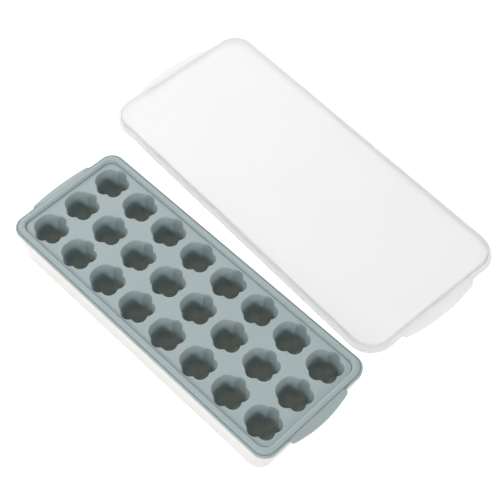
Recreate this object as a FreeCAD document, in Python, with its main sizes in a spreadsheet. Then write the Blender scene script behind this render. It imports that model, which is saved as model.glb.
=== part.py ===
import FreeCAD, Part
import math
import os

import Sketcher

# Paw-cavity silicone ice mould, the rigid tray that it sits in, and their loose lid.
# Millimetres. Z = 0 is the table, the tray stands over the origin, X runs along the row of eight.

os.makedirs("parts", exist_ok=True)

doc = FreeCAD.newDocument("ice_cube_mould")
sheet = doc.addObject("Spreadsheet::Sheet", "Sizes")


# Driving sizes

SIZES = (
    # Grid of cavities
    ("columns", 8, "cavities along X"),
    ("rows", 3, "cavities along Y"),
    ("pitch_x", 31, "from cavity to cavity along X"),
    ("pitch_y", 29, "from cavity to cavity along Y"),
    # Paw well: one palm and four toes with drafted walls
    ("palm_radius", 10.5, "palm at the mouth"),
    ("palm_back", 2.15, "palm centre behind the cavity centre"),
    ("toe_radius", 5.8, "each toe at the mouth"),
    ("inner_toe_x", 6.85, "middle toes ahead of the cavity centre"),
    ("inner_toe_y", 3.8, "middle toes to each side"),
    ("outer_toe_x", 1.1, "side toes ahead of the cavity centre"),
    ("outer_toe_y", 6.8, "side toes to each side"),
    ("well_depth", 22.5, "mould top to the floor of a well"),
    ("draft_angle", 2.2, "lean of the well and cup walls in degrees"),
    # Cup that hangs round each well, eight-sided
    ("cup_wall", 1.4, "least silicone beside a well at its mouth"),
    ("cup_floor", 1.2, "least silicone under a well"),
    ("cup_corner_cut", 7, "cut across each corner of a cup"),
    ("cup_bevel", 1.5, "bevel round a cup's underside"),
    # Mould plate
    ("end_border", 6.6, "grid of cavities to the plate's edge at each end"),
    ("side_border", 5.8, "grid of cavities to the plate's edge at each side"),
    ("plate_thick", 2, "plate and cavity webs"),
    ("plate_corner", 10.5, "corner radius of the plate"),
    ("bead_inset", 3.8, "plate edge to the middle of the raised bead"),
    ("bead_width", 4.4, "raised bead round the plate"),
    ("bead_height", 2.4, "bead above the plate"),
    ("bead_round", 1.5, "rounding of the bead's two upper edges"),
    ("mould_tab_width", 52, "lifting tab along Y"),
    ("mould_tab_side", 2.3, "tab past the plate at its sides"),
    ("mould_tab_reach", 5.3, "tab past the plate at its middle"),
    ("mould_tab_round", 1.6, "corner radius of the tab"),
    # Tray
    ("tray_wall", 1.5, "tray walls"),
    ("tray_floor", 1.5, "tray floor"),
    ("cup_clearance", 4.3, "tray floor to the undersides of the cups"),
    ("tray_end_lean", 6, "lean of each end wall from rim to floor"),
    ("tray_side_lean", 0.5, "lean of each side wall from rim to floor"),
    ("foot_bevel", 1.5, "bevel between walls and underside"),
    ("rim_height", 4, "thickened band round the tray's mouth"),
    ("rim_step", 0.8, "band proud of the wall"),
    ("rim_margin", 0.4, "plate edge past the rim"),
    # Locating rib under the plate
    ("rib_depth", 2, "rib below the plate"),
    ("rib_thick", 1.3, "rib wall"),
    ("rib_gap", 0.3, "rib to the tray wall at the rib's lower edge"),
    # Lid
    ("lid_end_margin", 19.5, "lid past the mould's plate at each end"),
    ("lid_side_margin", 19, "lid past the mould's plate at each side"),
    ("lid_height", 7, "table to the top of the raised panel"),
    ("lid_wall", 1.2, "lid panel and skirt"),
    ("lid_edge", 2.3, "flange outside the raised panel"),
    ("lid_edge_thick", 1.4, "flange and tabs"),
    ("lid_corner", 20, "corner radius of the flange"),
    ("lid_bevel", 1.6, "bevel on the panel's upper edge"),
    ("lid_tab_width", 70, "lid tab along Y"),
    ("lid_tab_side", 2.5, "tab past the flange at its sides"),
    ("lid_tab_reach", 7, "tab past the flange at its middle"),
    ("lid_tab_round", 3, "corner radius of the tab"),
    ("lid_x", -26.2, "middle of the lid along X"),
    ("lid_gap", 24.7, "plate to lid where the lid lies"),
    ("lid_turn", -3.6, "turn of the lid about Z in degrees"),
)

# Sizes worked out from the driving ones
WORKED_OUT = (
    ("cup_depth", "=well_depth + cup_floor", "mould top to a cup's underside"),
    ("plate_top", "=tray_floor + cup_clearance + cup_depth", "flat top of the mould"),
    ("tray_height", "=plate_top - plate_thick", "rim that the plate rests on"),
    ("plate_length", "=columns * pitch_x + 2 * end_border", "plate along X without its tabs"),
    ("plate_width", "=rows * pitch_y + 2 * side_border", "plate along Y"),
    ("first_x", "=-(columns - 1) / 2 * pitch_x", "first cavity along X"),
    ("first_y", "=-(rows - 1) / 2 * pitch_y", "first cavity along Y"),
    ("span_x", "=(columns - 1) * pitch_x", "first to last cavity along X"),
    ("span_y", "=(rows - 1) * pitch_y", "first to last cavity along Y"),
    ("well_lean", "=well_depth * tan(draft_angle * 1 deg)", "draft of a well over its depth"),
    ("knee_depth", "=cup_depth - cup_bevel", "mould top to the top of a cup's bevel"),
    ("cup_lean", "=(knee_depth - plate_thick) * tan(draft_angle * 1 deg)", "draft of a cup"),
    ("paw_length", "=palm_back + palm_radius + inner_toe_x + toe_radius", "mouth along X"),
    ("cup_length", "=paw_length + 2 * cup_wall", "cup along X"),
    ("cup_width", "=2 * (outer_toe_y + toe_radius + cup_wall)", "cup along Y"),
    ("rim_length", "=plate_length - 2 * rim_margin", "rim along X"),
    ("rim_width", "=plate_width - 2 * rim_margin", "rim along Y"),
    ("rim_corner", "=plate_corner - rim_margin", "corner radius of the rim"),
    ("mouth_length", "=rim_length - 2 * rim_step", "wall's outside at the rim along X"),
    ("mouth_width", "=rim_width - 2 * rim_step", "wall's outside at the rim along Y"),
    ("mouth_corner", "=rim_corner - rim_step", "corner radius of the wall at the rim"),
    ("foot_length", "=mouth_length - 2 * tray_end_lean", "tray's floor along X"),
    ("foot_width", "=mouth_width - 2 * tray_side_lean", "tray's floor along Y"),
    ("rib_inset", "=tray_wall + rib_gap + tray_end_lean * rib_depth / tray_height", "wall to rib"),
    ("rib_length", "=mouth_length - 2 * rib_inset", "locating rib along X"),
    ("rib_width", "=mouth_width - 2 * rib_inset", "locating rib along Y"),
    ("rib_corner", "=mouth_corner - rib_inset", "corner radius of the rib"),
    ("lid_length", "=plate_length + 2 * lid_end_margin", "lid along its own long side"),
    ("lid_width", "=plate_width + 2 * lid_side_margin", "lid along its own short side"),
    ("lid_y", "=plate_width / 2 + lid_gap + lid_width / 2", "middle of the lid along Y"),
    ("panel_length", "=lid_length - 2 * lid_edge", "lid's raised panel along X"),
    ("panel_width", "=lid_width - 2 * lid_edge", "lid's raised panel along Y"),
    ("panel_corner", "=lid_corner - lid_edge", "corner radius of the raised panel"),
)


def fill_sheet():
    """Write every size into the sheet as text, with its meaning beside it."""
    for row, (alias, value, meaning) in enumerate(SIZES + WORKED_OUT, start=1):
        sheet.set("A%d" % row, alias)
        sheet.set("B%d" % row, str(value))
        sheet.set("C%d" % row, meaning)
        sheet.setAlias("B%d" % row, alias)
    doc.recompute()


def size(alias):
    """Value of one cell, to start a sketch near its final shape."""
    return float(sheet.get(alias))


# Helpers for bodies and sketches

def new_body(label):
    body = doc.addObject("PartDesign::Body", label)
    body.Label = label
    return body


def datum(body, role):
    """Origin plane or axis of a body, found by its role."""
    for item in body.Origin.OriginFeatures:
        if item.Role == role:
            return item
    raise ValueError(role)


def new_sketch(body, name, **offsets):
    """Level sketch in a body, shifted along x, y or z by sheet expressions."""
    sketch = body.newObject("Sketcher::SketchObject", name)
    sketch.AttachmentSupport = (datum(body, "XY_Plane"), [""])
    sketch.MapMode = "FlatFace"
    for axis, expression in offsets.items():
        sketch.setExpression("AttachmentOffset.Base." + axis, expression)
    return sketch


def bind(sketch, kind, arguments, name, expression, start):
    """Driving constraint with a name, bound to an expression."""
    index = sketch.addConstraint(Sketcher.Constraint(kind, *arguments, start))
    sketch.renameConstraint(index, name)
    sketch.setExpression("Constraints." + name, expression)


def join_ends(sketch, pairs, kind="Coincident"):
    for first, second in pairs:
        sketch.addConstraint(Sketcher.Constraint(kind, first[0], first[1], second[0], second[1]))


def rounded_rectangle(sketch, tag, length, width, corner, inset="0"):
    """Rectangle centred on the sketch with round corners, inset by an expression.

    length, width and corner are aliases of the sheet.
    """
    gap = sketch_value(inset)
    half_x = size(length) / 2 - gap
    half_y = size(width) / 2 - gap
    radius = size(corner) - gap
    x, y = half_x - radius, half_y - radius
    first = sketch.GeometryCount
    corners = ((x, y, 0), (-x, y, 90), (-x, -y, 180), (x, -y, 270))
    for centre_x, centre_y, begin in corners:
        circle = Part.Circle(FreeCAD.Vector(centre_x, centre_y, 0), FreeCAD.Vector(0, 0, 1), radius)
        arc = Part.ArcOfCircle(circle, math.radians(begin), math.radians(begin + 90))
        sketch.addGeometry(arc)
    ends = (((x, half_y), (-x, half_y)), ((-half_x, y), (-half_x, -y)),
            ((-x, -half_y), (x, -half_y)), ((half_x, -y), (half_x, y)))
    for begin, end in ends:
        sketch.addGeometry(Part.LineSegment(FreeCAD.Vector(*begin, 0), FreeCAD.Vector(*end, 0)))
    for side in range(4):
        line = first + 4 + side
        arc_before = first + side
        arc_after = first + (side + 1) % 4
        join_ends(sketch, (((arc_before, 2), (line, 1)), ((line, 2), (arc_after, 1))), "Tangent")
    for line, kind in ((4, "Horizontal"), (5, "Vertical"), (6, "Horizontal"), (7, "Vertical")):
        sketch.addConstraint(Sketcher.Constraint(kind, first + line))
    for arc in (1, 2, 3):
        sketch.addConstraint(Sketcher.Constraint("Equal", first, first + arc))
    sketch.addConstraint(Sketcher.Constraint("Symmetric", first, 3, first + 2, 3, -1, 1))
    bind(sketch, "Radius", (first,), tag + "_corner", "Sizes.%s - %s" % (corner, inset), radius)
    bind(sketch, "DistanceX", (-1, 1, first + 7, 1), tag + "_half_length",
         "Sizes.%s / 2 - %s" % (length, inset), half_x)
    bind(sketch, "DistanceY", (-1, 1, first + 4, 1), tag + "_half_width",
         "Sizes.%s / 2 - %s" % (width, inset), half_y)


def sketch_value(expression):
    """Number that an expression of the sheet gives."""
    return float(sheet.evalExpression(expression.replace("Sizes.", "")))


def pad(body, name, sketch, height, downward=False):
    feature = body.newObject("PartDesign::Pad", name)
    feature.Profile = sketch
    feature.setExpression("Length", height)
    feature.Reversed = downward
    sketch.Visibility = False
    return feature


def loft(body, kind, name, sections):
    """Ruled AdditiveLoft or SubtractiveLoft through level sections."""
    feature = body.newObject("PartDesign::" + kind, name)
    feature.Profile = sections[0]
    feature.Sections = sections[1:]
    feature.Ruled = True
    for sketch in sections:
        sketch.Visibility = False
    return feature


def dress_edges(body, kind, name, value, wanted):
    """Fillet or Chamfer on every edge of the current tip that wanted(edge) picks."""
    doc.recompute()
    base = body.Tip
    names = ["Edge%d" % (i + 1) for i, edge in enumerate(base.Shape.Edges) if wanted(edge)]
    if not names:
        raise ValueError("no edge found for " + name)
    feature = body.newObject("PartDesign::" + kind, name)
    feature.Base = (base, names)
    feature.setExpression({"Fillet": "Radius", "Chamfer": "Size"}[kind], value)


def level(edge, z):
    """True for an edge that lies flat at height z."""
    box = edge.BoundBox
    return abs(box.ZMin - z) < 0.01 and abs(box.ZMax - z) < 0.01


def upright(edge, x, y):
    """True for an upright edge that stands at +-x, +-y."""
    box = edge.BoundBox
    flat = box.XLength < 0.01 and box.YLength < 0.01
    return flat and abs(abs(box.XMin) - x) < 0.01 and abs(abs(box.YMin) - y) < 0.01


def bowed_tabs(body, tag, length, low, thick):
    """Pair of lifting tabs with a bowed outer edge, one at each end of a plate.

    tag picks the sheet's sizes, length is the plate's alias, low and thick are expressions.
    """
    width, side, reach = tag + "_tab_width", tag + "_tab_side", tag + "_tab_reach"
    root = size(length) / 2 - size(reach)
    shoulder = size(length) / 2 + size(side)
    tip = size(length) / 2 + size(reach)
    half = size(width) / 2
    sketch = new_sketch(body, tag + "_tab_outline", z=low)
    corners = (FreeCAD.Vector(shoulder, half, 0), FreeCAD.Vector(root, half, 0),
               FreeCAD.Vector(root, -half, 0), FreeCAD.Vector(shoulder, -half, 0))
    for begin, end in zip(corners, corners[1:]):
        sketch.addGeometry(Part.LineSegment(begin, end))
    sketch.addGeometry(Part.Arc(corners[3], FreeCAD.Vector(tip, 0, 0), corners[0]))
    join_ends(sketch, (((0, 2), (1, 1)), ((1, 2), (2, 1)), ((2, 2), (3, 1)), ((3, 2), (0, 1))))
    for line, kind in ((0, "Horizontal"), (1, "Vertical"), (2, "Horizontal")):
        sketch.addConstraint(Sketcher.Constraint(kind, line))
    sketch.addConstraint(Sketcher.Constraint("Symmetric", 0, 1, 2, 2, -1))
    half_length = "Sizes.%s / 2" % length
    bow = "(Sizes.%s - Sizes.%s)" % (reach, side)
    bind(sketch, "DistanceX", (-1, 1, 0, 1), "shoulder",
         "%s + Sizes.%s" % (half_length, side), shoulder)
    bind(sketch, "DistanceX", (-1, 1, 1, 1), "root",
         "%s - Sizes.%s" % (half_length, reach), root)
    bind(sketch, "DistanceY", (2, 2, 0, 1), "width", "Sizes.%s" % width, 2 * half)
    rise = size(reach) - size(side)
    bind(sketch, "Radius", (3,), "bow",
         "((Sizes.%s / 2) ^ 2 + %s ^ 2) / (2 * %s)" % (width, bow, bow),
         (half ** 2 + rise ** 2) / (2 * rise))
    tab = pad(body, tag + "_tab", sketch, thick)
    twin = body.newObject("PartDesign::Mirrored", tag + "_tab_twin")
    twin.Originals = [tab]
    twin.MirrorPlane = (datum(body, "YZ_Plane"), [""])
    body.Tip = twin
    dress_edges(body, "Fillet", tag + "_tab_corners", "Sizes.%s_tab_round" % tag,
                lambda edge: upright(edge, shoulder, half))


# Cavities and the cups that hold them

def crossing(first, second):
    """Point where two circles (x, y, radius) meet, the one further from the sketch's origin."""
    x_1, y_1, r_1 = first
    x_2, y_2, r_2 = second
    apart = math.hypot(x_2 - x_1, y_2 - y_1)
    along = (r_1 ** 2 - r_2 ** 2 + apart ** 2) / (2 * apart)
    across = math.sqrt(r_1 ** 2 - along ** 2)
    unit_x, unit_y = (x_2 - x_1) / apart, (y_2 - y_1) / apart
    foot_x, foot_y = x_1 + along * unit_x, y_1 + along * unit_y
    ends = ((foot_x - across * unit_y, foot_y + across * unit_x),
            (foot_x + across * unit_y, foot_y - across * unit_x))
    return max(ends, key=lambda end: math.hypot(*end))


def paw_outline(sketch, inset):
    """Closed outline of five arcs: four toes and the palm, all inset by an expression."""
    gap = sketch_value(inset)
    palm, toe = size("palm_radius") - gap, size("toe_radius") - gap
    circles = (
        (size("inner_toe_x"), size("inner_toe_y"), toe),
        (size("outer_toe_x"), size("outer_toe_y"), toe),
        (-size("palm_back"), 0, palm),
        (size("outer_toe_x"), -size("outer_toe_y"), toe),
        (size("inner_toe_x"), -size("inner_toe_y"), toe))
    count = len(circles)
    notches = [crossing(circles[i - 1], circles[i]) for i in range(count)]
    for i, (x, y, radius) in enumerate(circles):
        begin, end = notches[i], notches[(i + 1) % count]
        angles = [math.atan2(point[1] - y, point[0] - x) for point in (begin, end)]
        circle = Part.Circle(FreeCAD.Vector(x, y, 0), FreeCAD.Vector(0, 0, 1), radius)
        sketch.addGeometry(Part.ArcOfCircle(circle, angles[0], angles[1]))
    join_ends(sketch, [((i, 2), ((i + 1) % count, 1)) for i in range(count)])
    middle, side, back = 0, 1, 2
    for near, far in ((0, 4), (1, 3)):
        sketch.addConstraint(Sketcher.Constraint("Symmetric", near, 3, far, 3, -1))
        sketch.addConstraint(Sketcher.Constraint("Equal", near, far))
    sketch.addConstraint(Sketcher.Constraint("Equal", middle, side))
    sketch.addConstraint(Sketcher.Constraint("PointOnObject", back, 3, -1))
    for arc, name in ((middle, "inner_toe"), (side, "outer_toe")):
        bind(sketch, "DistanceX", (-1, 1, arc, 3), name + "_ahead",
             "Sizes.%s_x" % name, size(name + "_x"))
        bind(sketch, "DistanceY", (-1, 1, arc, 3), name + "_aside",
             "Sizes.%s_y" % name, size(name + "_y"))
    bind(sketch, "DistanceX", (back, 3, -1, 1), "palm_behind", "Sizes.palm_back",
         size("palm_back"))
    bind(sketch, "Radius", (middle,), "toe", "Sizes.toe_radius - " + inset, toe)
    bind(sketch, "Radius", (back,), "palm", "Sizes.palm_radius - " + inset, palm)


def cell_sketch(body, name, below_top):
    """Level sketch in the first cavity, below the mould's flat top by an expression."""
    return new_sketch(body, name, x="Sizes.first_x", y="Sizes.first_y",
                      z="Sizes.plate_top - " + below_top)


def cut_rectangle(sketch, half_length, half_width, cut):
    """Rectangle centred on the sketch with its corners cut at 45 degrees; sizes are expressions."""
    half_x, half_y, leg = sketch_value(half_length), sketch_value(half_width), sketch_value(cut)
    x, y = half_x - leg, half_y - leg
    corners = ((half_x, y), (x, half_y), (-x, half_y), (-half_x, y),
               (-half_x, -y), (-x, -half_y), (x, -half_y), (half_x, -y))
    count = len(corners)
    for i, begin in enumerate(corners):
        end = corners[(i + 1) % count]
        sketch.addGeometry(Part.LineSegment(FreeCAD.Vector(*begin, 0), FreeCAD.Vector(*end, 0)))
    join_ends(sketch, [((i, 2), ((i + 1) % count, 1)) for i in range(count)])
    sketch.addConstraint(Sketcher.Constraint("Horizontal", 1))
    sketch.addConstraint(Sketcher.Constraint("Vertical", 3))
    for first, last in (((0, 1), (4, 1)), ((0, 2), (4, 2)), ((2, 1), (6, 1)), ((2, 2), (6, 2))):
        sketch.addConstraint(Sketcher.Constraint("Symmetric", *first, *last, -1, 1))
    bind(sketch, "DistanceX", (-1, 1, 0, 1), "half_length", half_length, half_x)
    bind(sketch, "DistanceY", (-1, 1, 0, 2), "half_width", half_width, half_y)
    front = ((0, 2, 0, 1), (0, 1, 0, 2))
    back = ((2, 2, 2, 1), (2, 2, 2, 1))
    for name, (along, across) in (("front", front), ("back", back)):
        bind(sketch, "DistanceX", along, name + "_cut_along", cut, leg)
        bind(sketch, "DistanceY", across, name + "_cut_across", cut, leg)


def make_cup(body):
    """Cup of the first cavity: a drafted block under the plate, then a 45-degree bevel.

    An inset d of the outline takes (2 - sqrt 2) d off each leg of its corner cuts.
    """
    outline = cell_sketch(body, "cup_outline", "Sizes.plate_thick")
    cut_rectangle(outline, "Sizes.cup_length / 2", "Sizes.cup_width / 2", "Sizes.cup_corner_cut")
    drop = pad(body, "cup", outline, "Sizes.knee_depth - Sizes.plate_thick", downward=True)
    drop.setExpression("TaperAngle", "-Sizes.draft_angle")

    knee = cell_sketch(body, "cup_knee", "Sizes.knee_depth")
    cut_rectangle(knee, "Sizes.cup_length / 2 - Sizes.cup_lean",
                  "Sizes.cup_width / 2 - Sizes.cup_lean",
                  "Sizes.cup_corner_cut - (2 - sqrt(2)) * Sizes.cup_lean")
    bevel = pad(body, "cup_sole", knee, "Sizes.cup_bevel", downward=True)
    bevel.TaperAngle = -45
    return [drop, bevel]


def make_well(body):
    """Paw well of the first cavity, narrower at its floor than at its mouth."""
    sections = []
    for tag, depth, inset in (("mouth", "0", "0"), ("floor", "Sizes.well_depth", "Sizes.well_lean")):
        sketch = cell_sketch(body, "well_" + tag, depth)
        paw_outline(sketch, inset)
        sections.append(sketch)
    return loft(body, "SubtractiveLoft", "well", sections)


def over_grid(body, name, originals):
    """Repeat features over the columns and rows of the mould."""
    pattern = body.newObject("PartDesign::LinearPattern", name)
    pattern.Originals = originals
    pattern.Direction = (datum(body, "X_Axis"), [""])
    pattern.Direction2 = (datum(body, "Y_Axis"), [""])
    pattern.setExpression("Length", "Sizes.span_x")
    pattern.setExpression("Occurrences", "Sizes.columns")
    pattern.setExpression("Length2", "Sizes.span_y")
    pattern.setExpression("Occurrences2", "Sizes.rows")
    body.Tip = pattern


# The three pieces

def make_mould():
    """Silicone plate with a perimeter bead, lifting tabs, and paw wells in hanging cups."""
    body = new_body("ice_mould")
    outline = new_sketch(body, "plate_outline", z="Sizes.tray_height")
    rounded_rectangle(outline, "plate", "plate_length", "plate_width", "plate_corner")
    pad(body, "plate", outline, "Sizes.plate_thick")
    bowed_tabs(body, "mould", "plate_length", "Sizes.tray_height", "Sizes.plate_thick")

    ring = new_sketch(body, "bead_outline", z="Sizes.plate_top")
    for tag, side in (("outer", "-"), ("inner", "+")):
        inset = "(Sizes.bead_inset %s Sizes.bead_width / 2)" % side
        rounded_rectangle(ring, tag, "plate_length", "plate_width", "plate_corner", inset)
    pad(body, "bead", ring, "Sizes.bead_height")
    crest = size("plate_top") + size("bead_height")
    dress_edges(body, "Fillet", "bead_rounding", "Sizes.bead_round", lambda edge: level(edge, crest))

    rib = new_sketch(body, "rib_outline", z="Sizes.tray_height")
    for tag, inset in (("outer", "0"), ("inner", "Sizes.rib_thick")):
        rounded_rectangle(rib, tag, "rib_length", "rib_width", "rib_corner", inset)
    pad(body, "rib", rib, "Sizes.rib_depth", downward=True)

    over_grid(body, "cups", make_cup(body))
    over_grid(body, "wells", [make_well(body)])
    return body


def make_tray():
    """Rigid tray with leaning walls, a thickened rim band and a bevelled foot."""
    body = new_body("base_tray")
    levels = (
        ("sole", "0", "foot", "Sizes.foot_bevel"),
        ("foot", "Sizes.foot_bevel", "foot", "0"),
        ("mouth", "Sizes.tray_height", "mouth", "0"))
    sections = []
    for tag, height, outline, inset in levels:
        sketch = new_sketch(body, tag + "_outline", z=height)
        rounded_rectangle(sketch, tag, outline + "_length", outline + "_width", "mouth_corner", inset)
        sections.append(sketch)
    loft(body, "AdditiveLoft", "walls", sections)

    band = new_sketch(body, "rim_outline", z="Sizes.tray_height")
    rounded_rectangle(band, "rim", "rim_length", "rim_width", "rim_corner")
    pad(body, "rim_band", band, "Sizes.rim_height", downward=True)

    wall = "Sizes.tray_wall"
    floor = new_sketch(body, "floor_outline", z="Sizes.tray_floor")
    rounded_rectangle(floor, "floor", "foot_length", "foot_width", "mouth_corner", wall)
    inside = new_sketch(body, "inside_outline", z="Sizes.tray_height")
    rounded_rectangle(inside, "inside", "mouth_length", "mouth_width", "mouth_corner", wall)
    loft(body, "SubtractiveLoft", "inside", [floor, inside])
    return body


def make_lid():
    """Shallow lid with a raised panel, a narrow flange and a bowed tab at each end."""
    body = new_body("lid")
    edge = new_sketch(body, "flange_outline")
    rounded_rectangle(edge, "flange", "lid_length", "lid_width", "lid_corner")
    pad(body, "flange", edge, "Sizes.lid_edge_thick")
    bowed_tabs(body, "lid", "lid_length", "0", "Sizes.lid_edge_thick")

    panel = new_sketch(body, "panel_outline")
    rounded_rectangle(panel, "panel", "panel_length", "panel_width", "panel_corner")
    pad(body, "panel", panel, "Sizes.lid_height")
    crest = size("lid_height")
    dress_edges(body, "Chamfer", "panel_bevel", "Sizes.lid_bevel", lambda edge: level(edge, crest))

    hollow = new_sketch(body, "hollow_outline")
    rounded_rectangle(hollow, "hollow", "panel_length", "panel_width", "panel_corner",
                      "Sizes.lid_wall")
    pocket = body.newObject("PartDesign::Pocket", "hollow")
    pocket.Profile = hollow
    pocket.Reversed = True
    pocket.setExpression("Length", "(Sizes.lid_height - Sizes.lid_wall)")
    hollow.Visibility = False

    body.Placement = FreeCAD.Placement(
        FreeCAD.Vector(0, 0, 0), FreeCAD.Rotation(FreeCAD.Vector(0, 0, 1), size("lid_turn")))
    body.setExpression("Placement.Base.x", "Sizes.lid_x")
    body.setExpression("Placement.Base.y", "Sizes.lid_y")
    return body


def check(bodies):
    """Stop on any failed object or unusable shape."""
    for item in doc.Objects:
        if "Invalid" in item.State or "Error" in item.State:
            raise ValueError(item.Label + " failed")
    for body in bodies:
        if body.Shape.isNull() or not body.Shape.isValid() or len(body.Shape.Solids) != 1:
            raise ValueError(body.Label + " is not one sound solid")


fill_sheet()
pieces = [make_mould(), make_tray(), make_lid()]
doc.recompute()
check(pieces)
for piece in pieces:
    piece.Shape.exportStep("parts/%s.step" % piece.Label)
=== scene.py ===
import math

import bmesh
import bpy
import numpy as np
from bpy.props import FloatProperty, FloatVectorProperty, IntProperty, PointerProperty
from bpy.types import Operator, Panel, PropertyGroup
from mathutils import Matrix, Vector

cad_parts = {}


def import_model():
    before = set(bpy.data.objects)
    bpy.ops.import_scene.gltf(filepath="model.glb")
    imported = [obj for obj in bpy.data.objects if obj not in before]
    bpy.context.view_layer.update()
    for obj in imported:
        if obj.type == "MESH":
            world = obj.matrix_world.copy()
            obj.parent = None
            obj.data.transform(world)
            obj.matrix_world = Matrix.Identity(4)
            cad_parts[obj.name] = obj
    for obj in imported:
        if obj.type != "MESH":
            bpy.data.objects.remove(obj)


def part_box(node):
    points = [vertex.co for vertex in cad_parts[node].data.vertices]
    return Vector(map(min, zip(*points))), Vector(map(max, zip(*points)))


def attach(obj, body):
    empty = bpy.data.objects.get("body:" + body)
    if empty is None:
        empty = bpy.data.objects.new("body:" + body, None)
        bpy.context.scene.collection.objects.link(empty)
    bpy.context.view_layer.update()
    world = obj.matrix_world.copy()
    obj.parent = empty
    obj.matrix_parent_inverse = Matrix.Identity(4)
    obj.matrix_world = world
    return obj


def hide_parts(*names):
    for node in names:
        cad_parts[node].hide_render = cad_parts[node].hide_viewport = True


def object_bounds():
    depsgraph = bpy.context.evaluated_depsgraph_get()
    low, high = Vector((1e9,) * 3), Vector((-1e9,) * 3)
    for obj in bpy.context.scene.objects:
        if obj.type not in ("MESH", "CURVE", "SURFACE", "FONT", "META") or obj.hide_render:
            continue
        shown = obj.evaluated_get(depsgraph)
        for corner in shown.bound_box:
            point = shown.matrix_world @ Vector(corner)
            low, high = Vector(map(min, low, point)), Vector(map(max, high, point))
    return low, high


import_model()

bl_info = {
    "name": "Paw Ice Mould",
    "version": (1, 0, 0),
    "blender": (4, 5, 0),
    "location": "3D View > Sidebar > Ice Mould",
    "description": "Silicone ice mould with paw-shaped wells, its tray, its loose lid and a stage",
    "category": "Object",
}

# Metres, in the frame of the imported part: the table is z = 0 and X runs along the row of eight

MM = 0.001
CAD_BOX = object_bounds()
MOULD_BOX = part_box("ice_mould")
TRAY_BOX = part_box("base_tray")
LID_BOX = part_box("lid")


def linear(hex_colour):
    """sRGB hex colour, such as "#A2B1B4", as linear red, green and blue.

    A value up to 0.04045 is divided by 12.92; a higher one becomes
    ((value + 0.055) / 1.055) ** 2.4.
    """
    values = np.array([int(hex_colour[i:i + 2], 16) for i in (1, 3, 5)]) / 255
    low, high = values / 12.92, ((values + 0.055) / 1.055) ** 2.4
    return tuple(np.where(values <= 0.04045, low, high).tolist())


# Sizes and colours that a user may change

def length(name, millimetres, description):
    return FloatProperty(name=name, default=millimetres * MM, min=0, unit="LENGTH",
                         precision=5, description=description)


def colour(name, hex_colour, description):
    return FloatVectorProperty(name=name, default=linear(hex_colour), size=3, min=0, max=1,
                               subtype="COLOR", description=description)


def angle(name, degrees, description):
    return FloatProperty(name=name, default=math.radians(degrees), unit="ROTATION",
                         description=description)


class MouldSizes(PropertyGroup):
    """Sizes of the silicone mould."""

    columns: IntProperty(name="Columns", default=8, min=1, description="Wells along X")
    rows: IntProperty(name="Rows", default=3, min=1, description="Wells along Y")
    pitch_x: length("Pitch X", 31, "Well to well along X")
    pitch_y: length("Pitch Y", 29, "Well to well along Y")
    palm_radius: length("Palm radius", 10.5, "Palm of a well at its mouth")
    palm_square: length("Palm squareness", 0.4, "Palm's reach past its radius on its diagonals")
    palm_back: length("Palm back", 2.15, "Palm centre behind the well's centre")
    toe_radius: length("Toe radius", 5.8, "Each toe of a well at its mouth")
    inner_toe_x: length("Middle toes ahead", 6.85, "Middle toes ahead of the well's centre")
    inner_toe_y: length("Middle toes aside", 3.8, "Middle toes to each side")
    outer_toe_x: length("Side toes ahead", 0.1, "Side toes ahead of the well's centre")
    outer_toe_y: length("Side toes aside", 7.0, "Side toes to each side")
    ridge_round: length("Ridge round", 0.5, "Rounding of the ridges between palm and toes")
    mouth_round: length("Mouth round", 0.5, "Rounding of a well's mouth")
    well_depth: length("Well depth", 22.5, "Flat top to the lowest point of a well")
    palm_dome: length("Palm dome", 6, "Height of the round floor under the palm")
    toe_dome: length("Toe dome", 5, "Height of the round floor under each toe")
    palm_lean: angle("Palm lean", 7, "Lean of the palm's wall")
    toe_lean: angle("Toe lean", 1.5, "Lean of the toes' walls")
    cup_lean: angle("Cup lean", 2.2, "Lean of a cup's outside")
    cup_wall: length("Cup wall", 1.4, "Silicone beside a well")
    cup_corner_cut: length("Cup corner cut", 7, "Leg of the cut across a cup's corner")
    cup_bevel: length("Cup bevel", 1.5, "Bevel round a cup's underside")
    end_border: length("End border", 6.6, "Grid of wells to the plate's edge at each end")
    side_border: length("Side border", 5.8, "Grid of wells to the plate's edge at each side")
    plate_thick: length("Plate thickness", 2, "Plate between the wells")
    plate_corner: length("Plate corner", 10.5, "Corner radius of the plate")
    edge_round: length("Edge round", 0.6, "Rounding of the plate's edge")
    bead_inner: length("Bead's inner foot", 5.7, "Plate edge to the bead's inner foot")
    bead_outer: length("Bead's outer foot", 1.9, "Plate edge to the bead's outer foot")
    bead_face: length("Bead face", 0.9, "Width of the bead's round inner face")
    bead_back: length("Bead back", 1.4, "Width of the bead's round outer face")
    bead_corner_share: FloatProperty(
        name="Bead corner share", default=0.55, min=0, max=1,
        description="Part of the inset that the bead's corner radius loses")
    groove_width: length("Groove width", 0.9, "Groove at each foot of the bead")
    groove_depth: length("Groove depth", 0.55, "Groove at each foot of the bead")
    flange_rise: length("Flange rise", 0.8, "Flange outside the bead above the flat top")
    tab_width: length("Tab width", 52, "Lifting tab along Y")
    tab_side: length("Tab side", 2.3, "Tab past the plate at its sides")
    tab_reach: length("Tab reach", 5.3, "Tab past the plate at its middle")
    tab_round: length("Tab round", 1.6, "Corner radius of the tab")
    tab_droop: length("Tab droop", 2.8, "Tab's tip below its root")
    rib_inset: length("Rib inset", 3.436, "Plate edge to the rib under the plate")
    rib_thick: length("Rib thickness", 1.3, "Rib under the plate")
    rib_depth: length("Rib depth", 2, "Rib below the plate")
    silicone: colour("Silicone", "#A2B1B4", "Grey-green of the silicone")
    # Painted shade: a warmer grey that the silicone is given deep in the wells, where shade falls
    painted_shade_silicone: colour("Silicone in the wells", "#ADAFA6", "Warmer grey of the thin cups")


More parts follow.
